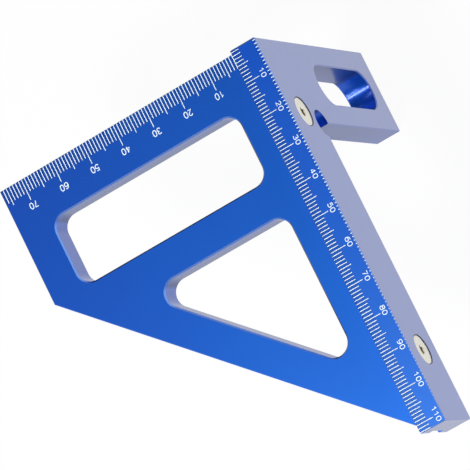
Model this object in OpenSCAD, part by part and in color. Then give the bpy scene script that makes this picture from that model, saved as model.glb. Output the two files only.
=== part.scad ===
/* [Ruler plate] */
// Reach of the plate from the face of the fence to its square edge, along X
plate_reach = 77; // [60:1:100]
// Length of the square edge, before the mitre edge begins, along Y
square_edge = 34; // [30:1:60]
// Angle between the mitre edge and the fence
mitre_angle = 45; // [42:1:48]
// Thickness of the plate
plate_t = 8; // [7:0.5:12]
// Width of the band that carries the short scale
scale_band = 13.7; // [11:0.1:18]
// Width of the band between the windows and the fence
fence_band = 8.2; // [7:0.1:12]
// Width of the band between the long window and the square edge
square_band = 9.6; // [7:0.1:14]
// Width of the band between the triangular window and the mitre edge
mitre_band = 9.7; // [7:0.1:14]
// Width of the long window
window_w = 20; // [12:0.5:26]
// Width of the bar between the two windows
bar_w = 10; // [7:0.5:14]
// Radius of the corners of both windows
window_r = 4; // [2:0.5:5]
// Bevel round the mouths of both windows
window_bevel = 0.4; // [0.2:0.1:0.8]
// Bevel along the outer edges of the plate
plate_bevel = 0.15; // [0.1:0.05:0.5]

/* [Fence] */
// Thickness of the fence and its leg
fence_t = 7.7; // [7:0.1:9]
// Height of the fence
fence_h = 20; // [18:0.5:26]
// Height of the fence above the top of the plate
fence_rise = 6; // [4:0.5:8]
// Distance by which the end of the fence stays behind the zero edge of the plate
fence_setback = 0.3; // [0.1:0.1:1]
// Length of the fence past the tip of the mitre edge
fence_overrun = 1.3; // [0.5:0.1:4]
// Depth of the groove that takes the edge of the plate
groove_depth = 1.5; // [1:0.1:2.5]
// Clearance between the plate and each face of the groove
groove_gap = 0.04; // [0.02:0.01:0.1]
// Bevel along the edges of the fence and its leg
fence_bevel = 0.25; // [0.1:0.05:0.5]

/* [Leg] */
// Width of the leg, along Y
leg_w = 24.7; // [22:0.1:32]
// Height of the leg with the fence, along Z
leg_h = 80; // [60:1:100]
// Width of the slot in the leg
slot_w = 12; // [8:0.5:14]
// Wall between the slot and the free end of the leg
slot_end_wall = 6.5; // [5:0.5:12]
// Wall between the slot and the lower edge of the fence
slot_top_wall = 12.5; // [8:0.5:16]
// Bevel round the mouths of the slot
slot_bevel = 0.3; // [0.1:0.1:0.6]
// Radius of the round relief in the inside corner of fence and leg
relief_r = 4; // [2.5:0.5:5]

/* [Screws] */
// Distance from the end of the fence to the first screw
first_screw = 21.6; // [16:0.1:24]
// Distance from the last screw to the tip of the mitre edge
last_screw = 19.1; // [16:0.1:40]
// Diameter of the flat of the countersunk head
head_d = 8.2; // [7:0.1:8.5]
// Height of the straight rim of the head
head_rim = 0.1; // [0.05:0.05:0.3]
// Depth of the head below the outer face of the fence
head_sink = 0.2; // [0.1:0.1:0.6]
// Outside diameter of the thread
screw_d = 4; // [3.8:0.1:4.2]
// Mean diameter of the thread where it holds in the plate
thread_d = 3.5; // [3.3:0.05:3.6]
// Length of the screw with its head
screw_len = 12; // [11:0.5:13]
// Width across the flats of the hexagon socket
socket_af = 2.5; // [2:0.1:3]
// Depth of the hexagon socket
socket_depth = 1.8; // [1.2:0.1:2.4]
// Bevel round the mouth of the socket, past its corners
socket_bevel = 0.2; // [0.1:0.05:0.4]
// Clearance round the shank in the fence, on the radius
shank_gap = 0.15; // [0.1:0.05:0.3]
// Clearance round the head and the engaged thread, on the radius
thread_gap = 0.03; // [0.02:0.01:0.05]

/* [Scales] */
// Distance between two graduation lines
tick_pitch = 1; // [1:0.5:2]
// Width of a graduation line
tick_w = 0.28; // [0.2:0.02:0.34]
// Depth of a graduation line
tick_depth = 0.1; // [0.05:0.05:0.2]
// Length of the short lines of the plate scale
plate_tick = 4; // [2:0.1:5]
// Length of the short lines of the fence scale at its zero
fence_tick = 2.45; // [1.5:0.05:3]
// Extra length of every fifth line of the plate scale
plate_fifth = 1; // [0.5:0.1:2]
// Extra length of every tenth line of the plate scale
plate_tenth = 2.1; // [1:0.1:3]
// Extra length of every fifth line of the fence scale
fence_fifth = 0.85; // [0.4:0.05:1]
// Extra length of every tenth line of the fence scale
fence_tenth = 1.75; // [1:0.05:2]
// Length of the lines along the outer edge of the fence at its zero
outer_tick = 0.87; // [0.4:0.01:1]
// Angle by which the rows of the fence scale run outwards from its inner edge
fence_row_angle = 0.44; // [0:0.02:0.5]

/* [Hidden] */

$fn = 96;
// How far a cutting shape reaches past the surface that it cuts
over = 1;
// How far the straight part of a flared mouth stands past its round corners, so that they cross cleanly
blend = 0.002;
// Flank angle of the countersunk head and of a drilled hole's end, from the axis
head_flank = 45;
// Depth of a tapped hole past the end of its screw
hole_spare = 0.6;
// Least length of a graduation line past the bevel of its edge
edge_rest = 0.03;

// The origin is the zero of both scales: the top of the plate, at its zero edge and the face of the fence
tip_y = square_edge + plate_reach / tan(mitre_angle);
inner_tip_y = tip_y - mitre_band / sin(mitre_angle);
window_y = scale_band + window_w;
triangle_y = window_y + bar_w;
mid_z = -plate_t / 2;
fence_y0 = fence_setback;
fence_y1 = tip_y + fence_overrun;
fence_bottom = fence_rise - fence_h;
leg_y1 = fence_y0 + leg_w;
leg_bottom = fence_rise - leg_h;
slot_low = leg_bottom + slot_end_wall + slot_w / 2;
slot_high = fence_bottom - slot_top_wall - slot_w / 2;
slot_y = fence_y0 + leg_w / 2;
seat_len = groove_depth - groove_gap;
screw_y = [fence_y0 + first_screw, tip_y - last_screw];
screw_end = screw_len + head_sink;
head_r = head_d / 2;
socket_r = socket_af / 2 / cos(30);

// Corners of the plate, of its two windows and of the fence with its leg, each anticlockwise
plate_outline = [[-seat_len, 0], [plate_reach, 0], [plate_reach, square_edge],
                 [0, tip_y], [-seat_len, tip_y]];
long_window = [[fence_band, scale_band], [plate_reach - square_band, scale_band],
               [plate_reach - square_band, window_y], [fence_band, window_y]];
triangle_window = [[fence_band, triangle_y], [(inner_tip_y - triangle_y) * tan(mitre_angle), triangle_y],
                   [fence_band, inner_tip_y - fence_band / tan(mitre_angle)]];
// The fence lies on its outer face here: first its height, then its length
fence_outline = [[fence_rise, fence_y0], [fence_rise, fence_y1], [fence_bottom, fence_y1],
                 [fence_bottom, leg_y1], [leg_bottom, leg_y1], [leg_bottom, fence_y0]];
relief_corner = 3;

function unit(v) = v / norm(v);
function next(list, i) = list[(i + 1) % len(list)];
function before(list, i) = list[(i + len(list) - 1) % len(list)];
// Right-hand normal of the way from a to b, which points out of an anticlockwise outline
function outward(a, b) = let (d = unit(b - a)) [d[1], -d[0]];
// Centre of the circle of radius r that rounds the corner b between a and c
function round_centre(a, b, c, r) =
    let (to_a = unit(a - b), to_c = unit(c - b), half = acos(to_a * to_c) / 2)
    b + unit(to_a + to_c) * r / sin(half);
function round_centres(outline, r) =
    [for (i = [0:len(outline) - 1]) round_centre(before(outline, i), outline[i], next(outline, i), r)];
// Outline with every corner but one cut back by a small amount
function blunt(outline, cut, kept) = [
    for (i = [0:len(outline) - 1])
        for (p = i == kept ? [outline[i]]
                           : [outline[i] + unit(before(outline, i) - outline[i]) * cut,
                              outline[i] + unit(next(outline, i) - outline[i]) * cut]) p];

// Turns a shape drawn flat, with its top at zero, so that its top becomes the outer face of the fence
module on_outer_face() {
    translate([-fence_t, 0, 0]) rotate([0, -90, 0]) children();
}

// Repeats a cutting shape for the top, mirrored at the bottom of a plate of thickness t
module top_and_bottom(t) {
    children();
    translate([0, 0, -t]) mirror([0, 0, 1]) children();
}

// Cuts a bevel along the top edge from p to q, where the solid is on the left
module edge_bevel(p, q, size) {
    d = q - p;
    translate([p[0], p[1], 0]) rotate([0, 0, atan2(d[1], d[0])])
        translate([-over, 0, 0]) rotate([90, 0, 90]) linear_extrude(norm(d) + 2 * over)
            polygon([[-over, -size - over], [size + over, over], [-over, over]]);
}

module outline_bevels(outline, size) {
    for (i = [0:len(outline) - 1]) edge_bevel(outline[i], next(outline, i), size);
}

// Area within r of the closed way round a list of centres, and inside that way
module rounded_area(centres, r) {
    if (len(centres) > 2) polygon(centres);
    for (i = [0:len(centres) - 1]) {
        a = centres[i];
        b = next(centres, i);
        n = outward(a, b) * r;
        polygon([a, a + n, b + n, b]);
        translate(a) circle(r);
    }
}

// Flared mouth of a rounded opening, open towards the top
module mouth_bevel(centres, r, size) {
    for (i = [0:len(centres) - 1]) {
        a = centres[i];
        d = next(centres, i) - a;
        translate([a[0], a[1], -size]) cylinder(h = size + over, r1 = r, r2 = r + size + over);
        translate([a[0], a[1], 0]) rotate([0, 0, atan2(d[1], d[0])]) rotate([90, 0, 90])
            linear_extrude(norm(d))
                polygon([[0, -size], [-r - blend, -size], [-r - blend - size - over, over], [0, over]]);
    }
}

// Rounded opening through a plate of thickness t, with a bevel at both mouths
module rounded_opening(centres, r, t, size) {
    translate([0, 0, -t - over]) linear_extrude(t + 2 * over) rounded_area(centres, r);
    top_and_bottom(t) mouth_bevel(centres, r, size);
}

// Graduation lines from the first to the last number, growing along Y from the X axis. Their row may run
// at a small angle, and lines that would end on the bevel are left out
module graduation(last, short, fifth, tenth, bevel, row_angle = 0) {
    translate([0, 0, -tick_depth]) linear_extrude(tick_depth + over)
        for (k = [1:last]) {
            at = k * tick_pitch;
            length = short + at * tan(row_angle) + (k % 10 == 0 ? tenth : k % 5 == 0 ? fifth : 0);
            if (length > bevel + edge_rest)
                translate([at - tick_w / 2, -over]) square([tick_w, length + over]);
        }
}

// Number of the last graduation line that keeps its full width on a scale of this length
function last_tick(length, bevel) = floor((length - bevel) / tick_pitch);

// Flat plate with its two windows, the short scale and the tapped holes
module ruler_plate() {
    color([0.12, 0.35, 0.76]) difference() {
        translate([0, 0, -plate_t]) linear_extrude(plate_t) polygon(plate_outline);
        top_and_bottom(plate_t)
            for (i = [0:2]) edge_bevel(plate_outline[i], plate_outline[i + 1], plate_bevel);
        for (window = [long_window, triangle_window])
            rounded_opening(round_centres(window, window_r), window_r, plate_t, window_bevel);
        graduation(last_tick(plate_reach, plate_bevel + tick_w), plate_tick, plate_fifth, plate_tenth,
                   plate_bevel);
        for (y = screw_y) translate([0, y, mid_z]) on_outer_face() tapped_hole();
    }
}

// Hole for the engaged thread, from the seated edge of the plate to past the end of the screw
module tapped_hole() {
    r = thread_d / 2 + thread_gap;
    translate([0, 0, -screw_end - hole_spare]) cylinder(h = screw_end + hole_spare, r = r);
    translate([0, 0, -screw_end - hole_spare]) mirror([0, 0, 1])
        cylinder(h = r * cos(60), r1 = r, r2 = 0);
}

// One piece: the fence along the plate, and the slotted leg at its zero end
module fence_with_leg() {
    color([0.13, 0.37, 0.8]) difference() {
        on_outer_face() difference() {
            translate([0, 0, -fence_t]) linear_extrude(fence_t)
                polygon(blunt(fence_outline, fence_bevel, relief_corner));
            top_and_bottom(fence_t) outline_bevels(fence_outline, fence_bevel);
            rounded_opening([[slot_low, slot_y], [slot_high, slot_y]], slot_w / 2, fence_t, slot_bevel);
            translate([fence_bottom, leg_y1, -fence_t - over])
                cylinder(h = fence_t + 2 * over, r = relief_r);
            for (y = screw_y) translate([mid_z, y, 0]) countersunk_hole();
        }
        translate([-groove_depth, fence_y0 - over, -plate_t - groove_gap])
            cube([groove_depth + over, fence_y1 - fence_y0 + 2 * over, plate_t + 2 * groove_gap]);
        translate([0, 0, fence_rise]) fence_graduations();
    }
}

// Both rows of lines on the top of the fence
module fence_graduations() {
    last = last_tick(fence_y1, fence_bevel);
    rotate([0, 0, 90])
        graduation(last, fence_tick, fence_fifth, fence_tenth, fence_bevel, fence_row_angle);
    translate([-fence_t, 0, 0]) rotate([0, 0, 90]) mirror([0, 1, 0])
        graduation(last, outer_tick, 0, 0, fence_bevel, -fence_row_angle);
}

// Hole for a countersunk screw, drilled down from the outer face
module countersunk_hole() {
    seat_r = head_r + thread_gap + head_sink + head_rim;
    translate([0, 0, -fence_t - over]) cylinder(h = fence_t + 2 * over, r = screw_d / 2 + shank_gap);
    translate([0, 0, -seat_r / tan(head_flank)])
        cylinder(h = seat_r / tan(head_flank) + over, r1 = 0, r2 = seat_r + over * tan(head_flank));
}

// Two countersunk screws with hexagon sockets, which pull the plate into the groove
module fence_screws() {
    color([0.86, 0.85, 0.8])
        for (y = screw_y) translate([0, y, mid_z]) on_outer_face() translate([0, 0, -head_sink]) screw();
}

// Screw with its head up, and the flat of the head at zero
module screw() {
    cone_h = (head_r - screw_d / 2) / tan(head_flank);
    shank_end = fence_t - groove_depth - head_sink;
    tip_cut = (screw_d - thread_d) / 2;
    mouth_r = socket_r + socket_bevel;
    difference() {
        union() {
            translate([0, 0, -head_rim]) cylinder(h = head_rim, r = head_r);
            translate([0, 0, -head_rim - cone_h]) cylinder(h = cone_h, r1 = screw_d / 2, r2 = head_r);
            translate([0, 0, -shank_end]) cylinder(h = shank_end - head_rim, r = screw_d / 2);
            translate([0, 0, -screw_len + tip_cut]) cylinder(h = screw_len - shank_end, r = thread_d / 2);
            translate([0, 0, -screw_len])
                cylinder(h = tip_cut, r1 = thread_d / 2 - tip_cut, r2 = thread_d / 2);
        }
        translate([0, 0, -socket_depth]) rotate([0, 0, 30])
            cylinder(h = socket_depth + over, r = socket_r, $fn = 6);
        translate([0, 0, -mouth_r]) cylinder(h = mouth_r + over, r1 = 0, r2 = mouth_r + over);
        translate([0, 0, -socket_depth]) mirror([0, 0, 1])
            cylinder(h = socket_af / 2 * cos(60), r1 = socket_af / 2, r2 = 0);
    }
}

ruler_plate();
fence_with_leg();
fence_screws();
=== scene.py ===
"""Looks of the angle ruler: blue anodised metal, white scales, bright screws, studio and camera."""

import logging
from abc import ABC, abstractmethod
from dataclasses import dataclass
from enum import Enum
from functools import reduce
from math import radians, tan

import bpy
import numpy as np
from mathutils import Matrix, Vector


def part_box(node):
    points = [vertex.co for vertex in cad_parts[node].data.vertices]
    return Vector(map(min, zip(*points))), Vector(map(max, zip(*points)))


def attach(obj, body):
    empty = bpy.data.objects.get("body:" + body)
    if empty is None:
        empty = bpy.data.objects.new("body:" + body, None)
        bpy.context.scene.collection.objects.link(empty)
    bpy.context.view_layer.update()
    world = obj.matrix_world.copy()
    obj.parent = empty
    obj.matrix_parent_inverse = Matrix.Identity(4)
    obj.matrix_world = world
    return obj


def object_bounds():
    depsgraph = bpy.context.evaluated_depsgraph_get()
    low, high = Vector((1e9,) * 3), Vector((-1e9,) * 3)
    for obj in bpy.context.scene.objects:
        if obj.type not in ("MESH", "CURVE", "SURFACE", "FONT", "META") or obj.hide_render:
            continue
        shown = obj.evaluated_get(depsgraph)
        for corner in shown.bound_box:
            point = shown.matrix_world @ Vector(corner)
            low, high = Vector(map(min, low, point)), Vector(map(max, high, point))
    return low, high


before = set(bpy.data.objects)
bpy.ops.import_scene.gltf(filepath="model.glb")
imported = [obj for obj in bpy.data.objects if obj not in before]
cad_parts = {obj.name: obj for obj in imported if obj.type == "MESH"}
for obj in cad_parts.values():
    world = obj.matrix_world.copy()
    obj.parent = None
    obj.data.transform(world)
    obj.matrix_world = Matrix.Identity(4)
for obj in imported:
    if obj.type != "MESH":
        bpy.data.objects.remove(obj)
CAD_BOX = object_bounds()
MM = 0.001
BODY = "root"
log = logging.getLogger("angle_ruler")

Colour = tuple[float, float, float]
Point = tuple[float, float, float]
Pair = tuple[float, float]
Socket = bpy.types.NodeSocket
Value = float | Socket


def skin(rings: np.ndarray, closed: bool = False) -> tuple[np.ndarray, list[list[int]]]:
    """Covers rows of rings with faces that point outwards.

    Each piece is a row of rings, and each ring a closed loop of points that runs anticlockwise for
    someone who looks along the row. Neighbouring rings are joined by four-sided faces. A row that isn't
    closed gets a flat cap at both ends.

    Args:
        rings: points as an array of pieces, rings, points of a ring and coordinates.
        closed: whether the last ring of each row joins the first.

    Returns:
        The points as rows of three coordinates, and the faces as lists of point numbers.
    """
    pieces, count, around, _ = rings.shape
    number = np.arange(pieces * count * around).reshape(pieces, count, around)
    joined = count if closed else count - 1
    this, following = number[:, :joined], np.roll(number, -1, axis=1)[:, :joined]
    beside, beyond = np.roll(this, -1, axis=2), np.roll(following, -1, axis=2)
    faces = np.stack([this, following, beyond, beside], axis=-1).reshape(-1, 4).tolist()
    if not closed:
        faces += number[:, 0].tolist() + number[:, -1, ::-1].tolist()
    return rings.reshape(-1, 3), faces


class Mesh:
    """Points and faces gathered for one piece of the ruler."""

    def __init__(self) -> None:
        """Starts with no points and no faces."""
        self.points: list[np.ndarray] = []
        self.faces: list[list[int]] = []
        self.total = 0

    def add(self, points: np.ndarray, faces: list[list[int]]) -> None:
        """Adds points, and faces that count them from zero.

        Args:
            points: rows of three coordinates.
            faces: lists of point numbers.
        """
        self.faces += [[corner + self.total for corner in face] for face in faces]
        self.points.append(points)
        self.total += len(points)

    def make(self, name: str, material: bpy.types.Material) -> bpy.types.Object:
        """Makes the piece, which rides on the ruler.

        Args:
            name: the name of the piece.
            material: its finish.

        Returns:
            The new object, with its place in its mesh.
        """
        data = bpy.data.meshes.new(name)
        data.from_pydata(np.concatenate(self.points), [], self.faces)
        data.materials.append(material)
        piece = bpy.data.objects.new(name, data)
        bpy.context.scene.collection.objects.link(piece)
        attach(piece, BODY)
        log.info("%s: %d points, %d faces", name, self.total, len(self.faces))
        return piece


def wear(node: str, material: bpy.types.Material) -> None:
    """Puts a finish on a piece of the CAD model."""
    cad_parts[node].material_slots[0].material = material
    log.info("%s: %s", node, material.name)


@dataclass(frozen=True)
class ScaleFace:
    """A flat face that carries a scale.

    u runs along the scale from its zero, v into the face from its edge, and w out of the face.

    Attributes:
        zero: the point from which u, v and w are counted.
        along: direction of u.
        inward: direction of v.
    """

    zero: Vector
    along: Vector
    inward: Vector

    def place(self, points: np.ndarray) -> np.ndarray:
        """Place of (u, v, w) points: zero + u x along + v x inward + w x the cross product of both."""
        axes = np.array([self.along, self.inward, self.along.cross(self.inward)])
        return points @ axes + np.array(self.zero)


class Edge(Enum):
    """The edge of its face that a row of lines starts from."""

    ZERO = 1
    OPPOSITE = -1


@dataclass(frozen=True)
class LineRow:
    """White paint in one row of engraved lines, which runs over the bevel to the edge of its face.

    Line number n lies at n x pitch. With a slope, the row's ends run at an angle to the edge.

    Attributes:
        face: the face that carries the row.
        last: number of the last line.
        short: length of a short line.
        fifth: what every fifth line has more.
        tenth: what every tenth line has more.
        bevel: size of the bevel along the edge.
        slope: growth of the lines along the row.
        edge: the edge that the lines start from.
        across: width of the face, where they start from the opposite edge.
        pitch: distance from one line to the next.
        width: width of the paint.
        depth: depth of its floor below the face.
        below: depth of its rims below the face.
        sag: how much deeper the middle of its top lies.
        film: half its thickness on the bevel.
        margin: distance between the paint and the very edge.
        rest: least length past the bevel at which a line is engraved.
    """

    face: ScaleFace
    last: int
    short: float
    fifth: float
    tenth: float
    bevel: float
    slope: float = 0.0
    edge: Edge = Edge.ZERO
    across: float = 0.0
    pitch: float = 1.0 * MM
    width: float = 0.217 * MM
    depth: float = 0.098 * MM
    below: float = 0.02 * MM
    sag: float = 0.01 * MM
    film: float = 0.006 * MM
    margin: float = 0.02 * MM
    rest: float = 0.03 * MM

    def lengths(self) -> tuple[np.ndarray, np.ndarray]:
        """Gives short + number x pitch x slope, with the fifth or the tenth part added on those lines.

        Returns:
            The number and the length of each line.
        """
        number = np.arange(1, self.last + 1)
        part = np.where(number % 10 == 0, self.tenth, np.where(number % 5 == 0, self.fifth, 0.0))
        return number, self.short + number * self.pitch * self.slope + part

    def engraved(self, length: np.ndarray) -> tuple[np.ndarray, np.ndarray]:
        """Gives the paint of the lines that run past the bevel.

        On the bevel, whose surface lies at v - bevel, the paint is a thin film. In the groove it fills
        the depth, and its top sags as a parabola.

        Args:
            length: length of each line.

        Returns:
            v and w of each line, station and point: two corners of the floor, then five of the top.
        """
        stations = np.array([self.margin, self.bevel - self.depth, self.bevel - self.below, 0.0])
        bevel = stations[:2] - self.bevel
        floor = np.concatenate([bevel - self.film, [-self.depth, -self.depth]])
        top = np.concatenate([bevel + self.film, [-self.below, -self.below]])
        sag = np.array([0, 0, self.sag, self.sag])[:, None] * (1 - np.linspace(1, -1, 5) ** 2)
        section = np.concatenate([np.tile(floor[:, None], 2), top[:, None] - sag], axis=1)
        w = np.tile(section, (len(length), 1, 1))
        v = np.broadcast_to(stations[:, None], w.shape).copy()
        v[:, -1] = length[:, None]
        return v, w

    def painted(self, length: np.ndarray) -> tuple[np.ndarray, np.ndarray]:
        """Gives the paint of the lines that end on the bevel: a thin film from the margin to their end.

        Args:
            length: length of each line.

        Returns:
            v and w, in the order of engraved().
        """
        end = np.minimum(length, self.bevel - self.below)
        v = np.tile(np.stack([np.full(len(length), self.margin), end], axis=1)[:, :, None], 7)
        return v, v - self.bevel + self.film * np.array([-1, -1, 1, 1, 1, 1, 1])

    def mesh(self) -> Mesh:
        """Carries the outline of each line from the edge along the stations to its end.

        Returns:
            The mesh of the whole row.
        """
        made = Mesh()
        number, length = self.lengths()
        past = length > self.bevel + self.rest
        on_bevel = ~past & (length > 2 * self.margin)
        side = np.concatenate([[-1, 1], np.linspace(1, -1, 5)]) * self.width / 2 * self.edge.value
        for chosen, paint in ((past, self.engraved), (on_bevel, self.painted)):
            if not chosen.any():
                continue
            v, w = paint(length[chosen])
            u = number[chosen, None, None] * self.pitch + np.broadcast_to(side, w.shape)
            v = v if self.edge is Edge.ZERO else self.across - v
            made.add(*skin(self.face.place(np.stack([u, v, w], axis=-1))))
        return made


def arc(centre: Pair, radius: Pair, start: float, end: float) -> np.ndarray:
    """Points of an elliptic arc: centre + (radius x times cos t, radius y times sin t), t in degrees."""
    t = np.radians(np.linspace(start, end, max(6, int(abs(end - start) / 12))))
    return np.array(centre) + np.stack([np.cos(t) * radius[0], np.sin(t) * radius[1]], axis=1)


def loop(centre: Pair, radius: Pair, squareness: float = 2.4) -> np.ndarray:
    """Gives a closed superellipse: centre + (radius x times c, radius y times s).

    c and s are cos t and sin t, raised to 2 over the squareness with their signs kept.

    Args:
        centre: its middle.
        radius: half its width and half its height.
        squareness: 2 for an ellipse, and more for fuller corners.

    Returns:
        Its points, anticlockwise from the right.
    """
    t = np.linspace(0, 2 * np.pi, 28, endpoint=False)
    turn = np.stack([np.cos(t), np.sin(t)], axis=1)
    return np.array(centre) + np.sign(turn) * np.abs(turn) ** (2 / squareness) * np.array(radius)


def corners(*points: Pair) -> np.ndarray:
    """Points of a path with sharp corners."""
    return np.array(points)


def strokes(digit: str) -> list[tuple[np.ndarray, bool]]:
    """Gives the strokes of a plain upright digit.

    Args:
        digit: one of the ten digits.

    Returns:
        The middle line of each stroke in a box of one by one, and whether it is a closed loop.
    """
    two = np.concatenate([arc((0.48, 0.71), (0.47, 0.29), 168, -35), corners((0, 0), (1, 0))])
    five = np.concatenate([corners((0.92, 1), (0.2, 1)), arc((0.46, 0.33), (0.54, 0.33), 138, -155)])
    six = [(loop((0.5, 0.31), (0.5, 0.31)), True), (arc((0.62, 0.38), (0.62, 0.62), 178, 58), False)]
    return {
        "0": [(loop((0.5, 0.5), (0.5, 0.5)), True)],
        "1": [(corners((0.15, 0.74), (0.42, 0.84), (0.62, 1.0), (0.62, 0.0)), False)],
        "2": [(two, False)],
        "3": [
            (arc((0.46, 0.76), (0.45, 0.24), 160, -92), False),
            (arc((0.46, 0.26), (0.54, 0.26), 92, -160), False),
        ],
        "4": [
            (corners((0.7, 1.0), (0, 0.28), (1.06, 0.28)), False),
            (corners((0.7, 1.02), (0.7, 0)), False),
        ],
        "5": [(five, False)],
        "6": six,
        "7": [(corners((0, 1), (0.98, 1), (0.55, 0.45), (0.36, 0)), False)],
        "8": [(loop((0.5, 0.77), (0.43, 0.23)), True), (loop((0.5, 0.27), (0.5, 0.27)), True)],
        "9": [(1 - path, closed) for path, closed in six],
    }[digit]


@dataclass(frozen=True)
class Digits:
    """The size of the digits of one scale.

    Attributes:
        width: width of a digit.
        height: height of a digit.
        advance: distance from one digit of a number to the next.
        stroke: width of the strokes.
    """

    width: float
    height: float
    advance: float
    stroke: float


@dataclass(frozen=True)
class NumberRow:
    """The numbers of one scale, as thin white marks on its face. Every step-th line carries its number.

    Attributes:
        face: the face that carries the numbers.
        last: the last number.
        digits: the size of their digits.
        baseline: how far in from the edge the digits stand, at the zero.
        shift: how far each number is moved back from its line.
        slope: rise of the baseline along the row.
        step: difference between two numbers.
        pitch: distance from one line to the next.
        thickness: height of the marks above the face.
        seat: how deep they reach into it.
        layer: what each further stroke of a digit stands higher, which keeps crossing strokes apart.
        sharpest: the widening of a stroke's section that no corner passes.
        crown: share of the stroke's width that its flat top takes.
    """

    face: ScaleFace
    last: int
    digits: Digits
    baseline: float
    shift: float
    slope: float = 0.0
    step: int = 10
    pitch: float = 1.0 * MM
    thickness: float = 0.012 * MM
    seat: float = 0.004 * MM
    layer: float = 0.0012 * MM
    sharpest: float = 1.35
    crown: float = 0.86

    def ribbon(self, path: np.ndarray, closed: bool, top: float) -> np.ndarray:
        """Carries a flat section along a path.

        At each point the section stands across the mean of the two directions that meet there, and is
        widened by one over the cosine of half their angle, up to a limit.

        Args:
            path: middle line as (u, v) points.
            closed: whether the last point joins the first.
            top: height of the section's top above the face.

        Returns:
            One row of rings for skin().
        """
        step = np.roll(path, -1, axis=0) - path
        step /= np.linalg.norm(step, axis=1, keepdims=True)
        ahead, behind = step.copy(), np.roll(step, 1, axis=0)
        if not closed:
            ahead[-1], behind[0] = behind[-1], ahead[0]
        mean = ahead + behind
        mean /= np.linalg.norm(mean, axis=1, keepdims=True)
        widening = np.minimum(1 / np.maximum((mean * ahead).sum(axis=1), 0.1), self.sharpest)
        right = np.stack([mean[:, 1], -mean[:, 0]], axis=1) * (widening * self.digits.stroke / 2)[:, None]
        side = np.array([-1, 1, 1, self.crown, -self.crown, -1])
        height = np.array([-self.seat, -self.seat, top / 2, top, top, top / 2])
        flat = path[:, None, :] + right[:, None, :] * side[None, :, None]
        raised = np.broadcast_to(height[None, :, None], (*flat.shape[:2], 1))
        return np.concatenate([flat, raised], axis=2)[None]

    def mesh(self) -> Mesh:
        """Centres each number on its line, moved back by the shift, and carries its strokes.

        Returns:
            The mesh of all the numbers.
        """
        made, form = Mesh(), self.digits
        box = np.array([form.width, form.height]) - form.stroke
        for value in range(self.step, self.last + 1, self.step):
            text = str(value)
            length = form.advance * (len(text) - 1) + form.width
            start = value * self.pitch - self.shift - length / 2
            base = self.baseline + value * self.pitch * self.slope
            for place, digit in enumerate(text):
                corner = np.array([start + place * form.advance, base]) + form.stroke / 2
                for layer, (path, closed) in enumerate(strokes(digit)):
                    top = self.thickness + layer * self.layer
                    rings = self.ribbon(corner + path * box, closed, top)
                    made.add(*skin(self.face.place(rings), closed))
        return made


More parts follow.
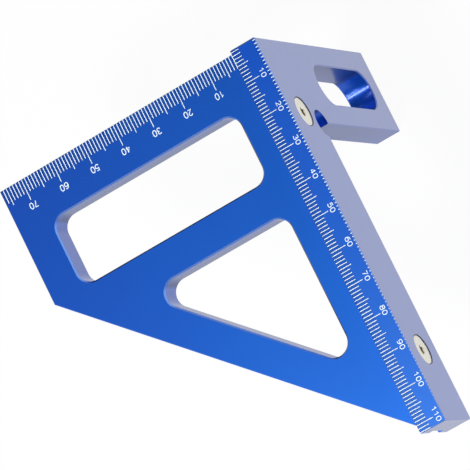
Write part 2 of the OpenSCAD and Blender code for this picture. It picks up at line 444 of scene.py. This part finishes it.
class NodeSheet:
    """The nodes of one finish."""

    def __init__(self, owner: bpy.types.Material | bpy.types.World) -> None:
        """Empties the owner's node tree.

        Args:
            owner: the material or world that the nodes are for.
        """
        owner.use_nodes = True
        self.tree = owner.node_tree
        self.tree.nodes.clear()

    def node(
        self, kind: str, inputs: dict[str | int, object] | None = None, **settings: object,
    ) -> bpy.types.Node:
        """Adds a node.

        Args:
            kind: its type, without the word ShaderNode.
            inputs: what each socket gets, a value or another node's socket.
            settings: its own properties.

        Returns:
            The new node.
        """
        made = self.tree.nodes.new("ShaderNode" + kind)
        for name, value in settings.items():
            setattr(made, name, value)
        for name, value in (inputs or {}).items():
            if isinstance(value, Socket):
                self.tree.links.new(value, made.inputs[name])
            else:
                made.inputs[name].default_value = value
        return made

    def maths(self, operation: str, *values: Value) -> Socket:
        """The result of one Math node."""
        return self.node("Math", dict(enumerate(values)), operation=operation).outputs[0]

    def plus(self, first: Value, second: Value) -> Socket:
        """The first plus the second."""
        return self.maths("ADD", first, second)

    def minus(self, first: Value, second: Value) -> Socket:
        """The first minus the second."""
        return self.maths("SUBTRACT", first, second)

    def times(self, first: Value, second: Value) -> Socket:
        """The first times the second."""
        return self.maths("MULTIPLY", first, second)

    def larger(self, first: Value, second: Value) -> Socket:
        """The larger of the two."""
        return self.maths("MAXIMUM", first, second)

    def smaller(self, first: Value, second: Value) -> Socket:
        """The smaller of the two."""
        return self.maths("MINIMUM", first, second)

    def unsigned(self, value: Value) -> Socket:
        """The value without its sign."""
        return self.maths("ABSOLUTE", value)

    def over(self, value: Value, limit: Value) -> Socket:
        """1 where the value is over the limit, and 0 elsewhere."""
        return self.maths("GREATER_THAN", value, limit)

    def under(self, value: Value, limit: Value) -> Socket:
        """1 where the value is under the limit, and 0 elsewhere."""
        return self.maths("LESS_THAN", value, limit)

    def between(self, value: Value, low: float, high: float) -> Socket:
        """1 where the value lies between the two limits, and 0 elsewhere."""
        return self.times(self.over(value, low), self.under(value, high))

    def noise(self, size: float, detail: float = 2.0) -> Socket:
        """Noise from 0 to 1 over the Object coordinates, whose spots are about as large as the size."""
        inputs = {"Vector": self.node("TexCoord").outputs["Object"], "Scale": 1 / size, "Detail": detail}
        return self.node("TexNoise", inputs).outputs["Fac"]

    def spread(self, value: Socket, low: float, high: float) -> Socket:
        """Stretches the middle half of 0 to 1 to the range from low to high."""
        inputs = {"Value": value, "From Min": 0.25, "From Max": 0.75, "To Min": low, "To Max": high}
        return self.node("MapRange", inputs).outputs["Result"]

    def blend(self, amount: Socket, first: float, second: float) -> Socket:
        """A number between two, by an amount from 0 to 1."""
        inputs = {"Value": amount, "To Min": first, "To Max": second}
        return self.node("MapRange", inputs).outputs["Result"]

    def ramp(self, value: Socket, limits: Pair, ends: Pair = (0.0, 1.0)) -> Socket:
        """Goes smoothly from one end to the other while the value goes from one limit to the other."""
        inputs = dict(zip(("Value", "From Min", "From Max", "To Min", "To Max"), (value, *limits, *ends)))
        return self.node("MapRange", inputs, interpolation_type="SMOOTHSTEP").outputs["Result"]

    def tinted(self, amount: Socket, first: Colour | Socket, second: Colour | Socket) -> Socket:
        """A colour between two, by an amount from 0 to 1, which are sockets 6, 7 and 0 of a Mix node."""
        ends = [end if isinstance(end, Socket) else (*end, 1) for end in (first, second)]
        return self.node("Mix", {0: amount, 6: ends[0], 7: ends[1]}, data_type="RGBA").outputs[2]

    def parts(self, output: str) -> dict[str, Socket]:
        """X, Y and Z of an output of Texture Coordinate: Object, Normal or, for the world, Generated."""
        split = self.node("SeparateXYZ", {0: self.node("TexCoord").outputs[output]})
        return {axis: split.outputs[axis] for axis in "XYZ"}

    def radius(self, axes_y: tuple[float, ...], axis_z: float) -> Socket:
        """Gives the distance from the nearest axis along X: the root of the squared offsets in Y and Z.

        Args:
            axes_y: Y of each axis.
            axis_z: Z of all the axes.

        Returns:
            The distance.
        """
        place = self.parts("Object")
        beside = reduce(self.smaller, [self.unsigned(self.minus(place["Y"], y)) for y in axes_y])
        above = self.minus(place["Z"], axis_z)
        return self.maths("SQRT", self.plus(self.times(beside, beside), self.times(above, above)))

    def finish(self, shader: Socket, kind: str = "OutputMaterial") -> None:
        """Joins the shader to the output."""
        self.node(kind, {"Surface": shader})


class Finish(ABC):
    """A finish that materials are made from."""

    @abstractmethod
    def shader(self, sheet: NodeSheet) -> Socket:
        """Lays the nodes of the finish on the sheet, and gives its shader."""

    def material(self, name: str) -> bpy.types.Material:
        """Makes a material with this finish.

        Args:
            name: its name.

        Returns:
            The new material.
        """
        made = bpy.data.materials.new(name)
        sheet = NodeSheet(made)
        sheet.finish(self.shader(sheet))
        return made


@dataclass(frozen=True)
class AnodisedBlue(Finish):
    """Blue dyed, fine satin anodised aluminium: part metal, part dyed colour, under a clear oxide layer.

    Upright walls that face along Y are machined: duller, with a thinner oxide layer and painted shade.
    Walls that face along X take painted light on the fence and painted shade on the plate. The colour
    lightens along a run of painted light. The floors of the engraved lines, the countersinks and the
    bevels that face away from the fence or towards the zero edge carry painted shade. The bevels that
    face outwards carry a painted highlight, and those that face along Y are paler by painted light.

    Attributes:
        near: colour at the start of the run of painted light.
        far: colour at its end.
        milled: colour of the painted shade on the upright walls that face along Y.
        milled_from: limits of the normal's Y between which a wall turns machined, with painted shade.
        side: colour painted on the walls that face along X, as painted light on the fence and as painted
            shade on the plate.
        side_dull: how much of that painted light and shade they take.
        side_bare: share of the oxide thinning of the walls along Y that the walls along X take.
        top: height of the face with the lines.
        across: weights of X and Y in the distance across the rows of lines.
        rows: limits of each row in that distance.
        row_shade: how much painted shade darkens the colour along the rows.
        row_end: half the width over which that begins and ends.
        wall_dye: how much of the painted wall shade is spared near the height zero.
        shallow: heights between which that begins.
        side_from: limits of the normal's X between which a wall turns from plain to side.
        upright: limits of the normal's Z between which a wall turns from upright to level.
        level: least share of the normal along an axis on a face square to it.
        bevel_tilt: limits of the normal's Z on a bevel.
        away_from: limits of the normal's X less its Y between which a bevel turns dark with painted
            shade.
        outward_from: limits of the normal's X, turned round, between which a bevel takes a painted
            highlight.
        along_from: limits of the normal's Y between which a bevel turns pale with painted light.
        groove_floor: heights over the top between which the floors of the lines lie.
        bore_oxide: what is left of the oxide in the round walls of the leg.
        bore_facing: limits of the normal along each axis on those walls.
        leg_z: height that parts the bevels above it from the round walls below it.
        holes_y: Y of the countersinks.
        hole_z: Z of the countersinks.
        hole_radius: radius round their axes within which they lie.
        dark: colour of the painted shade.
        bright: colour of the painted highlight on the outward bevels.
        worn: colour of the painted light on the bevels that face along Y.
        metallic: share of metal.
        roughness: roughness of the metal.
        milled_roughness: roughness of the machined walls that face along Y.
        roughness_play: how much the grain changes the roughness, either way.
        milled_oxide: what is left of the oxide on the walls that face along Y and in the places of
            painted shade.
        far_end: Y between which that thinning fades.
        far_bare: what is left of the thinning past them.
        base_ior: refractive index under the oxide.
        oxide_ior: refractive index of the oxide.
        oxide_roughness: roughness of the oxide.
        lean: how much X counts against Y in that run.
        start: where the run starts.
        span: length of the run.
        cloud: size of the clouds of uneven colour.
        unevenness: how far they move it along its run, either way.
        grain: size of the blasted grain.
        grain_detail: number of finer layers in the grain.
        grain_height: height of the grain.
    """

    near: Colour
    far: Colour
    milled: Colour
    milled_from: Pair
    side: Colour
    side_dull: float
    side_bare: float
    top: float
    across: Pair
    rows: tuple[Pair, ...]
    row_shade: float = 0.22
    row_end: float = 0.15 * MM
    wall_dye: float = 0.0
    shallow: Pair = (-6 * MM, 0.0)
    side_from: Pair = (0.5, 0.7)
    upright: Pair = (0.3, 0.72)
    level: float = 0.9
    bevel_tilt: Pair = (0.5, 0.9)
    away_from: Pair = (0.2, 0.6)
    outward_from: Pair = (0.4, 0.7)
    along_from: Pair = (0.4, 0.65)
    groove_floor: Pair = (-0.2 * MM, -0.05 * MM)
    bore_oxide: float = 0.35
    bore_facing: tuple[Pair, Pair, Pair] = ((-0.3, 0.3), (-0.97, 0.97), (-0.9, 2.0))
    leg_z: float = -10 * MM
    holes_y: tuple[float, ...] = ()
    hole_z: float = -4 * MM
    hole_radius: float = 4.6 * MM
    dark: Colour = (0.003, 0.016, 0.075)
    bright: Colour = (0.06, 0.24, 0.90)
    worn: Colour = (0.035, 0.135, 0.49)
    metallic: float = 0.45
    roughness: float = 0.33
    milled_roughness: float = 0.5
    roughness_play: float = 0.03
    milled_oxide: float = 0.5
    far_end: Pair = (90 * MM, 105 * MM)
    far_bare: float = 0.4
    base_ior: float = 1.2
    oxide_ior: float = 1.75
    oxide_roughness: float = 0.2
    lean: float = 0.0
    start: float = 0.0
    span: float = 112 * MM
    cloud: float = 22 * MM
    unevenness: float = 0.08
    grain: float = 0.16 * MM
    grain_detail: float = 3.0
    grain_height: float = 0.0012 * MM

    def dye(self, sheet: NodeSheet) -> Socket:
        """Runs painted light from near to far over the span from the start, by Y - lean x X, with uneven
        clouds.

        Args:
            sheet: its nodes.

        Returns:
            The colour.
        """
        place = sheet.parts("Object")
        along = sheet.minus(place["Y"], sheet.times(place["X"], self.lean))
        # painted light: the colour grows from near to far along this run; the clouds are uneven colour
        run = sheet.maths("DIVIDE", sheet.minus(along, self.start), self.span)
        clouds = sheet.spread(sheet.noise(self.cloud), -self.unevenness, self.unevenness)
        return sheet.tinted(sheet.plus(run, clouds), self.near, self.far)

    def walls(self, sheet: NodeSheet) -> tuple[Socket, Socket]:
        """Finds the upright walls.

        Args:
            sheet: its nodes.

        Returns:
            1 on those that face along Y, and 1 on those that face along X, each 0 on other faces.
        """
        facing = sheet.parts("Normal")
        upright = sheet.minus(1.0, sheet.ramp(sheet.unsigned(facing["Z"]), self.upright))
        wall = sheet.ramp(sheet.unsigned(facing["Y"]), self.milled_from)
        side = sheet.ramp(sheet.unsigned(facing["X"]), self.side_from)
        return sheet.times(wall, upright), sheet.times(side, upright)

    def on_bevels(self, sheet: NodeSheet, amount: Socket) -> Socket:
        """Keeps an amount on the bevels above the leg, and makes it 0 elsewhere.

        Args:
            sheet: its nodes.
            amount: the amount, from 0 to 1.

        Returns:
            What is kept of it.
        """
        raised = sheet.over(sheet.parts("Object")["Z"], self.leg_z)
        bevels = sheet.between(sheet.parts("Normal")["Z"], *self.bevel_tilt)
        return sheet.times(bevels, sheet.times(amount, raised))

    def shade(self, sheet: NodeSheet) -> Socket:
        """Finds the places of painted shade: bevels, floors of engraved lines, and countersinks.

        Args:
            sheet: its nodes.

        Returns:
            1 there, and 0 elsewhere.
        """
        facing, place = sheet.parts("Normal"), sheet.parts("Object")
        # painted shade on bevels that face +X or -Y, on the floors of the grooves and in the countersinks
        away = sheet.ramp(sheet.minus(facing["X"], facing["Y"]), self.away_from)
        floor = sheet.between(place["Z"], *(self.top + height for height in self.groove_floor))
        engraved = sheet.times(floor, sheet.over(facing["Z"], self.level))
        dark = sheet.larger(self.on_bevels(sheet, away), engraved)
        if not self.holes_y:
            return dark
        inside = sheet.under(sheet.radius(self.holes_y, self.hole_z), self.hole_radius)
        hollow = sheet.under(sheet.unsigned(facing["X"]), self.level)
        return sheet.larger(dark, sheet.times(inside, hollow))

    def among_lines(self, sheet: NodeSheet) -> Socket:
        """Finds the rows of lines on the top, which painted shade darkens.

        Args:
            sheet: its nodes.

        Returns:
            1 along each row, and 0 elsewhere.
        """
        facing, place = sheet.parts("Normal"), sheet.parts("Object")
        weighted = (sheet.times(place[axis], weight) for axis, weight in zip("XY", self.across))
        offset = sheet.plus(*weighted)
        inside = []
        for limits in self.rows:
            start, end = (sheet.ramp(offset, (at - self.row_end, at + self.row_end)) for at in limits)
            inside.append(sheet.minus(start, end))
        return sheet.times(sheet.over(facing["Z"], self.level), reduce(sheet.larger, inside))

    def lit(self, sheet: NodeSheet) -> Socket:
        """1 on the bevels with a painted highlight, which face towards the outer side of the fence, and 0
        elsewhere.
        """
        outward = sheet.times(sheet.parts("Normal")["X"], -1)
        return self.on_bevels(sheet, sheet.ramp(outward, self.outward_from))

    def rubbed(self, sheet: NodeSheet) -> Socket:
        """1 on the bevels paled by painted light, which face along Y, and 0 elsewhere."""
        return self.on_bevels(sheet, sheet.ramp(sheet.parts("Normal")["Y"], self.along_from))

    def bore(self, sheet: NodeSheet) -> Socket:
        """Finds the round walls of the leg: the ends of the slot and the relief of the inside corner.

        Args:
            sheet: its nodes.

        Returns:
            1 there, and 0 elsewhere.
        """
        facing = sheet.parts("Normal")
        low = sheet.under(sheet.parts("Object")["Z"], self.leg_z)
        walls = (sheet.between(facing[axis], *limits) for axis, limits in zip("XYZ", self.bore_facing))
        return reduce(sheet.times, walls, low)

    def colour(self, sheet: NodeSheet, wall: Socket, side: Socket, shade: Socket) -> Socket:
        """Lays painted light and shade of each place over the plain colour.

        Args:
            sheet: its nodes.
            wall: 1 on the walls that face along Y, which take painted shade.
            side: 1 on the walls that face along X.
            shade: 1 on the places of painted shade.

        Returns:
            The colour.
        """
        depth = sheet.ramp(sheet.parts("Object")["Z"], self.shallow)
        layers = (
            # painted shade on the walls that face along Y, spared towards the top
            (sheet.times(wall, sheet.blend(depth, 1.0, 1 - self.wall_dye)), self.milled),
            # painted light on the fence's walls that face along X, painted shade on the plate's
            (sheet.times(side, self.side_dull), self.side),
            # painted highlight on the bevels that face outwards
            (self.lit(sheet), self.bright),
            # painted light on the bevels that face along Y
            (self.rubbed(sheet), self.worn),
            # painted shade along the rows of lines
            (sheet.times(self.among_lines(sheet), self.row_shade), self.dark),
            # painted shade on the dark bevels, the groove floors and the countersinks
            (shade, self.dark),
        )
        colour = self.dye(sheet)
        for amount, own in layers:
            colour = sheet.tinted(amount, colour, own)
        return colour

    def oxide(self, sheet: NodeSheet, wall: Socket, side: Socket, shade: Socket) -> Socket:
        """Thins the oxide on the walls that face along Y, less so at the far end, and in places of
        painted shade and round walls.

        Args:
            sheet: its nodes.
            wall: 1 on the walls that face along Y.
            side: 1 on the walls that face along X.
            shade: 1 on the places of painted shade.

        Returns:
            What is left of the oxide, from 0 to 1.
        """
        along = sheet.ramp(sheet.parts("Object")["Y"], self.far_end)
        thin = sheet.times(wall, sheet.blend(along, 1.0, self.far_bare))
        thin = sheet.plus(thin, sheet.times(side, self.side_bare))
        left = sheet.blend(sheet.larger(thin, shade), 1.0, self.milled_oxide)
        return sheet.times(left, sheet.blend(self.bore(sheet), 1.0, self.bore_oxide))

    def shader(self, sheet: NodeSheet) -> Socket:
        """Lays out the metal: the colour, blasted grain as bump, and roughness that follows the grain.

        Args:
            sheet: its nodes.

        Returns:
            The shader.
        """
        (wall, side), shade = self.walls(sheet), self.shade(sheet)
        grain = sheet.noise(self.grain, self.grain_detail)
        bump = sheet.node("Bump", {"Height": grain, "Distance": self.grain_height, "Strength": 1.0})
        satin = sheet.blend(wall, self.roughness, self.milled_roughness)
        play = sheet.spread(grain, -self.roughness_play, self.roughness_play)
        return sheet.node("BsdfPrincipled", {
            "Base Color": self.colour(sheet, wall, side, shade),
            "Metallic": self.metallic,
            "Roughness": sheet.plus(satin, play),
            "Normal": bump.outputs[0],
            "IOR": self.base_ior,
            "Coat Weight": self.oxide(sheet, wall, side, shade),
            "Coat IOR": self.oxide_ior,
            "Coat Roughness": self.oxide_roughness,
        }).outputs[0]


@dataclass(frozen=True)
class WhiteFill(Finish):
    """Matt white marking paint: slightly uneven, with a dry, fine-grained surface.

    Attributes:
        bright: colour of the clean places.
        soiled: colour of the soiled ones.
        roughness: roughness of the paint.
        patch: size of the soiled places.
        grain: size of the grain.
        grain_height: height of the grain.
    """

    bright: Colour = (0.81, 0.94, 1.0)
    soiled: Colour = (0.75, 0.88, 0.95)
    roughness: float = 0.55
    patch: float = 1.3 * MM
    grain: float = 0.05 * MM
    grain_height: float = 0.002 * MM

    def shader(self, sheet: NodeSheet) -> Socket:
        """Lays out the paint.

        Args:
            sheet: its nodes.

        Returns:
            The shader.
        """
        clean = sheet.spread(sheet.noise(self.patch), 0, 1)
        bump = sheet.node("Bump", {"Height": sheet.noise(self.grain), "Distance": self.grain_height})
        return sheet.node("BsdfPrincipled", {
            "Base Color": sheet.tinted(clean, self.soiled, self.bright),
            "Roughness": self.roughness,
            "Normal": bump.outputs[0],
        }).outputs[0]


@dataclass(frozen=True)
class PlatedSteel(Finish):
    """Bright plated steel with turning marks round the axis of each screw, and a light bloom.

    Attributes:
        axes_y: Y of each screw's axis.
        axis_z: Z of both axes.
        light: colour of the clear plating.
        dark: colour of the bloom.
        roughness: roughness at its least and at its most.
        bloom: size of the spots of bloom.
        bloom_detail: number of finer layers in the bloom.
        ring: distance from one turning mark to the next.
        ring_height: height of the marks.
        ring_strength: how much they turn the light.
    """

    axes_y: Pair
    axis_z: float
    light: Colour = (0.80, 0.78, 0.69)
    dark: Colour = (0.69, 0.66, 0.56)
    roughness: Pair = (0.16, 0.26)
    bloom: float = 0.7 * MM
    bloom_detail: float = 3.0
    ring: float = 0.09 * MM
    ring_height: float = 0.0015 * MM
    ring_strength: float = 0.6

    def shader(self, sheet: NodeSheet) -> Socket:
        """Lays out the steel, whose turning marks are a sine of the radius.

        Args:
            sheet: its nodes.

        Returns:
            The shader.
        """
        turns = sheet.times(sheet.radius(self.axes_y, self.axis_z), 2 * np.pi / self.ring)
        rings = sheet.maths("SINE", turns)
        inputs = {"Height": rings, "Distance": self.ring_height, "Strength": self.ring_strength}
        bloom = sheet.noise(self.bloom, self.bloom_detail)
        return sheet.node("BsdfPrincipled", {
            "Base Color": sheet.tinted(sheet.spread(bloom, 0, 1), self.dark, self.light),
            "Metallic": 1.0,
            "Roughness": sheet.spread(bloom, *self.roughness),
            "Normal": sheet.node("Bump", inputs).outputs[0],
        }).outputs[0]


@dataclass(frozen=True)
class WhiteFloor(Finish):
    """A matt floor that is plain white to the eye and in reflections.

    A share of its own shading is left in that white, which keeps the shadow of the ruler.

    Attributes:
        matt: how much light the floor throws back.
        plain: share of plain white to the eye and in reflections.
    """

    matt: float = 0.9
    plain: float = 0.95

    def shader(self, sheet: NodeSheet) -> Socket:
        """Mixes the matt floor with plain white for camera, glossy and transmission rays.

        Args:
            sheet: its nodes.

        Returns:
            The shader.
        """
        rays = sheet.node("LightPath").outputs
        seen = sheet.plus(rays["Is Camera Ray"], rays["Is Glossy Ray"])
        seen = sheet.plus(seen, rays["Is Transmission Ray"])
        share = sheet.times(sheet.smaller(seen, 1.0), self.plain)
        matt = sheet.node("BsdfDiffuse", {"Color": (self.matt, self.matt, self.matt, 1)})
        glow = sheet.node("Emission", {"Color": (1, 1, 1, 1), "Strength": 1.0})
        return sheet.node("MixShader", {0: share, 1: matt.outputs[0], 2: glow.outputs[0]}).outputs[0]


@dataclass(frozen=True)
class Plate:
    """The windowed plate, and the short scale along its zero edge.

    Attributes:
        low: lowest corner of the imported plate.
        high: its highest corner.
        bevel: size of the bevel along its edges.
        short: length of a short line.
        fifth: what every fifth line has more.
        tenth: what every tenth line has more.
        last_number: the last number of the scale.
        digits: the size of its digits.
        baseline: how far in from the edge they stand.
        shift: how far each number is moved back from its line.
    """

    low: Vector
    high: Vector
    bevel: float = 0.15 * MM
    short: float = 4.0 * MM
    fifth: float = 1.0 * MM
    tenth: float = 2.1 * MM
    last_number: int = 70
    digits: Digits = Digits(width=1.2 * MM, height=1.85 * MM, advance=1.38 * MM, stroke=0.24 * MM)
    baseline: float = 6.8 * MM
    shift: float = 0.15 * MM

    @property
    def face(self) -> ScaleFace:
        """The top, whose short scale runs along X from the zero edge."""
        return ScaleFace(Vector((0, self.low.y, self.high.z)), Vector((1, 0, 0)), Vector((0, 1, 0)))

    def blue(self) -> AnodisedBlue:
        """Gives the plate its finish.

        Returns:
            A blue whose painted light also runs across, with walls darkened by painted shade.
        """
        return AnodisedBlue(
            # the run from near to far is painted light, the wall and side colours painted shade, and
            # bright a painted highlight
            near=(0.010, 0.095, 0.59), far=(0.003, 0.147, 0.70), lean=1.6, start=-123 * MM, span=234 * MM,
            milled=(0.006, 0.05, 0.25), milled_from=(0.585, 0.835), milled_oxide=0.6, wall_dye=0.3,
            side=(0.006, 0.05, 0.25), side_dull=0.1, side_bare=0.75, bright=(0.13, 0.37, 1.0),
            top=self.high.z, across=(0, 1), rows=((-1 * MM, 4 * MM),),
        )

    def lines(self) -> LineRow:
        """The lines of the short scale, up to the last one before the far edge."""
        last = round(self.high.x / MM) - 1
        return LineRow(self.face, last, self.short, self.fifth, self.tenth, self.bevel)

    def numbers(self) -> NumberRow:
        """The numbers of the short scale."""
        return NumberRow(self.face, self.last_number, self.digits, self.baseline, self.shift)

    def dress(self, white: bpy.types.Material) -> None:
        """Gives the plate its finish, its lines and its numbers.

        Args:
            white: the marking paint.
        """
        wear("ruler_plate", self.blue().material("anodised_plate"))
        self.lines().mesh().make("plate_scale_lines", white)
        self.numbers().mesh().make("plate_scale_numbers", white)


@dataclass(frozen=True)
class Fence:
    """The fence with its leg, and the long scale on its top, whose rows run at a small angle.

    Attributes:
        low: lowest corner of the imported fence.
        high: its highest corner.
        screws_y: Y of its countersinks.
        slope: rise of the rows along the fence.
        bevel: size of the bevel along its edges.
        short: length of a short line.
        fifth: what every fifth line has more.
        tenth: what every tenth line has more.
        line: width of the paint in the lines.
        edge_short: length of the first lines at the outer edge.
        edge_line: width of their paint.
        last_number: the last number of the scale.
        digits: the size of its digits.
        baseline: how far in from the edge they stand, at the zero.
        shift: how far each number is moved back from its line.
    """

    low: Vector
    high: Vector
    screws_y: Pair
    slope: float = tan(radians(0.44))
    bevel: float = 0.25 * MM
    short: float = 2.45 * MM
    fifth: float = 0.85 * MM
    tenth: float = 1.75 * MM
    line: float = 0.172 * MM
    edge_short: float = 0.87 * MM
    edge_line: float = 0.22 * MM
    last_number: int = 110
    digits: Digits = Digits(width=1.2 * MM, height=1.5 * MM, advance=1.42 * MM, stroke=0.2 * MM)
    baseline: float = 4.72 * MM
    shift: float = 0.4 * MM

    @property
    def face(self) -> ScaleFace:
        """The top, whose long scale runs along Y from the zero corner."""
        return ScaleFace(Vector((self.high.x, 0, self.high.z)), Vector((0, 1, 0)), Vector((-1, 0, 0)))

    @property
    def last(self) -> int:
        """Number of the last line before the fence's end."""
        return int(self.high.y / MM)

    def blue(self) -> AnodisedBlue:
        """Gives the fence its finish.

        Returns:
            A blue with sides lightened by painted light, and painted shade along both rows of lines and
            in the countersinks.
        """
        return AnodisedBlue(
            # the run from near to far is painted light, the wall colour painted shade and the side colour
            # painted light
            near=(0.007, 0.114, 0.72), far=(0.018, 0.153, 0.67),
            milled=(0.025, 0.075, 0.33), milled_from=(0.6, 0.97),
            side=(0.045, 0.125, 0.53), side_dull=1.0, side_bare=0.0, holes_y=self.screws_y,
            top=self.high.z, across=(1, self.slope), rows=((-2.45 * MM, 1 * MM), (-9 * MM, -6.83 * MM)),
        )

    def lines(self) -> LineRow:
        """Lays out the lines of the long scale.

        Returns:
            The row along the inner edge.
        """
        return LineRow(
            self.face, self.last, self.short, self.fifth, self.tenth, self.bevel, self.slope,
            width=self.line,
        )

    def edge_lines(self) -> LineRow:
        """Lays out the short lines opposite the scale, which shrink from the zero on.

        Returns:
            The row along the outer edge.
        """
        return LineRow(
            self.face, self.last, self.edge_short, 0.0, 0.0, self.bevel, -self.slope,
            edge=Edge.OPPOSITE, across=self.high.x - self.low.x, width=self.edge_line,
        )

    def numbers(self) -> NumberRow:
        """The numbers of the long scale."""
        return NumberRow(self.face, self.last_number, self.digits, self.baseline, self.shift, self.slope)

    def dress(self, white: bpy.types.Material) -> None:
        """Gives the fence its finish, both rows of lines and its numbers.

        Args:
            white: the marking paint.
        """
        wear("fence_with_leg", self.blue().material("anodised_fence"))
        self.lines().mesh().make("fence_scale_lines", white)
        self.edge_lines().mesh().make("fence_edge_lines", white)
        self.numbers().mesh().make("fence_scale_numbers", white)


@dataclass(frozen=True)
class Screws:
    """The two countersunk screws in the outer face of the fence.

    Attributes:
        low: lowest corner of both packed screws together.
        high: their highest corner.
        head_radius: radius of a head.
    """

    low: Vector
    high: Vector
    head_radius: float = 4.1 * MM

    @property
    def axes_y(self) -> Pair:
        """Y of each screw's axis."""
        return self.low.y + self.head_radius, self.high.y - self.head_radius

    def dress(self) -> None:
        """Gives both screws their plated finish, with turning marks round each axis."""
        steel = PlatedSteel(self.axes_y, (self.low.z + self.high.z) / 2)
        wear("fence_screws", steel.material("plated_steel"))


@dataclass(frozen=True)
class Softbox:
    """A square area lamp.

    Attributes:
        name: its name.
        place: its middle.
        side: length of its side.
        watts: its power.
    """

    name: str
    place: Point
    side: float
    watts: float

    def light(self, aim: Vector) -> None:
        """Adds the lamp.

        Args:
            aim: the point that it is turned to.
        """
        data = bpy.data.lights.new(self.name, "AREA")
        data.shape, data.size, data.energy = "SQUARE", self.side, self.watts
        lamp = bpy.data.objects.new(self.name, data)
        lamp.location = self.place
        lamp.rotation_euler = (aim - Vector(self.place)).to_track_quat("-Z", "Y").to_euler()
        bpy.context.scene.collection.objects.link(lamp)


@dataclass(frozen=True)
class Studio:
    """White floor, pale surroundings that darken overhead, and a softbox.

    Attributes:
        floor_side: length of the floor's side.
        gap: how far the floor lies under the leg.
        white: finish of the floor.
        horizon: strength of the surroundings at the horizon.
        ceiling: their strength overhead.
        fade: heights of a direction between which they darken.
        softbox: the lamp.
    """

    floor_side: float = 12.0
    gap: float = 0.05 * MM
    white: WhiteFloor = WhiteFloor()
    horizon: float = 0.9
    ceiling: float = 0.03
    fade: Pair = (0.36, 0.66)
    softbox: Softbox = Softbox("main_softbox", place=(0.20, 0.29, 0.61), side=0.2, watts=5.05)

    def floor(self) -> None:
        """Lays the floor just under the leg."""
        half, height = self.floor_side / 2, CAD_BOX[0].z - self.gap
        around = ((-half, -half), (half, -half), (half, half), (-half, half))
        data = bpy.data.meshes.new("floor")
        data.from_pydata([(x, y, height) for x, y in around], [], [(0, 1, 2, 3)])
        data.materials.append(self.white.material("floor_white"))
        ground = bpy.data.objects.new("floor", data)
        bpy.context.scene.collection.objects.link(ground)

    def surroundings(self) -> None:
        """Makes the world pale in directions up to the start of the fade, and dim from its end up."""
        world = bpy.data.worlds.new("studio")
        bpy.context.scene.world = world
        sheet = NodeSheet(world)
        level = sheet.ramp(sheet.parts("Generated")["Z"], self.fade, (self.horizon, self.ceiling))
        light = sheet.node("Background", {"Color": (1, 1, 1, 1), "Strength": level})
        sheet.finish(light.outputs[0], "OutputWorld")

    def build(self) -> None:
        """Makes the floor, the surroundings and the lamp."""
        self.floor()
        self.surroundings()
        self.softbox.light((CAD_BOX[0] + CAD_BOX[1]) / 2)


@dataclass(frozen=True)
class PhotoCamera:
    """The camera of the photograph: a long lens that looks steeply down on the plate.

    Attributes:
        aim: the point that it looks at.
        distance: its distance from that point.
        azimuth: turn about Z, in degrees.
        elevation: height over the horizon, in degrees.
        roll: turn about its own axis, in degrees.
        lens: focal length, in mm.
        sensor: width of the sensor, in mm.
        clip: nearest and furthest distance that it sees.
    """

    aim: Point = (24.4486 * MM, 41.1939 * MM, -4 * MM)
    distance: float = 1265.446 * MM
    azimuth: float = -120.48941
    elevation: float = 68.26329
    roll: float = -87.64100
    lens: float = 370.479
    sensor: float = 36.0
    clip: Pair = (0.05, 50.0)

    def build(self) -> None:
        """Places the camera: turned by the azimuth, tipped down by the elevation and rolled."""
        data = bpy.data.cameras.new("photo_camera")
        data.lens, data.sensor_width, data.sensor_fit = self.lens, self.sensor, "HORIZONTAL"
        data.clip_start, data.clip_end = self.clip
        camera = bpy.data.objects.new("photo_camera", data)
        turn = Matrix.Rotation(radians(self.azimuth), 4, "Z")
        tip = Matrix.Rotation(radians(90 - self.elevation), 4, "X")
        roll = Matrix.Rotation(radians(self.roll), 4, "Z")
        back = Matrix.Translation((0, 0, self.distance))
        camera.matrix_world = Matrix.Translation(self.aim) @ turn @ tip @ roll @ back
        bpy.context.scene.collection.objects.link(camera)
        bpy.context.scene.camera = camera


def main() -> None:
    """Dresses the ruler and sets up its photograph."""
    logging.basicConfig(level=logging.INFO, format="%(name)s %(message)s")
    bpy.context.scene.view_settings.view_transform = "Standard"
    white = WhiteFill().material("white_fill")
    screws = Screws(*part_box("fence_screws"))
    Plate(*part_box("ruler_plate")).dress(white)
    Fence(*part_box("fence_with_leg"), screws.axes_y).dress(white)
    screws.dress()
    Studio().build()
    PhotoCamera().build()


if __name__ == "__main__":
    main()
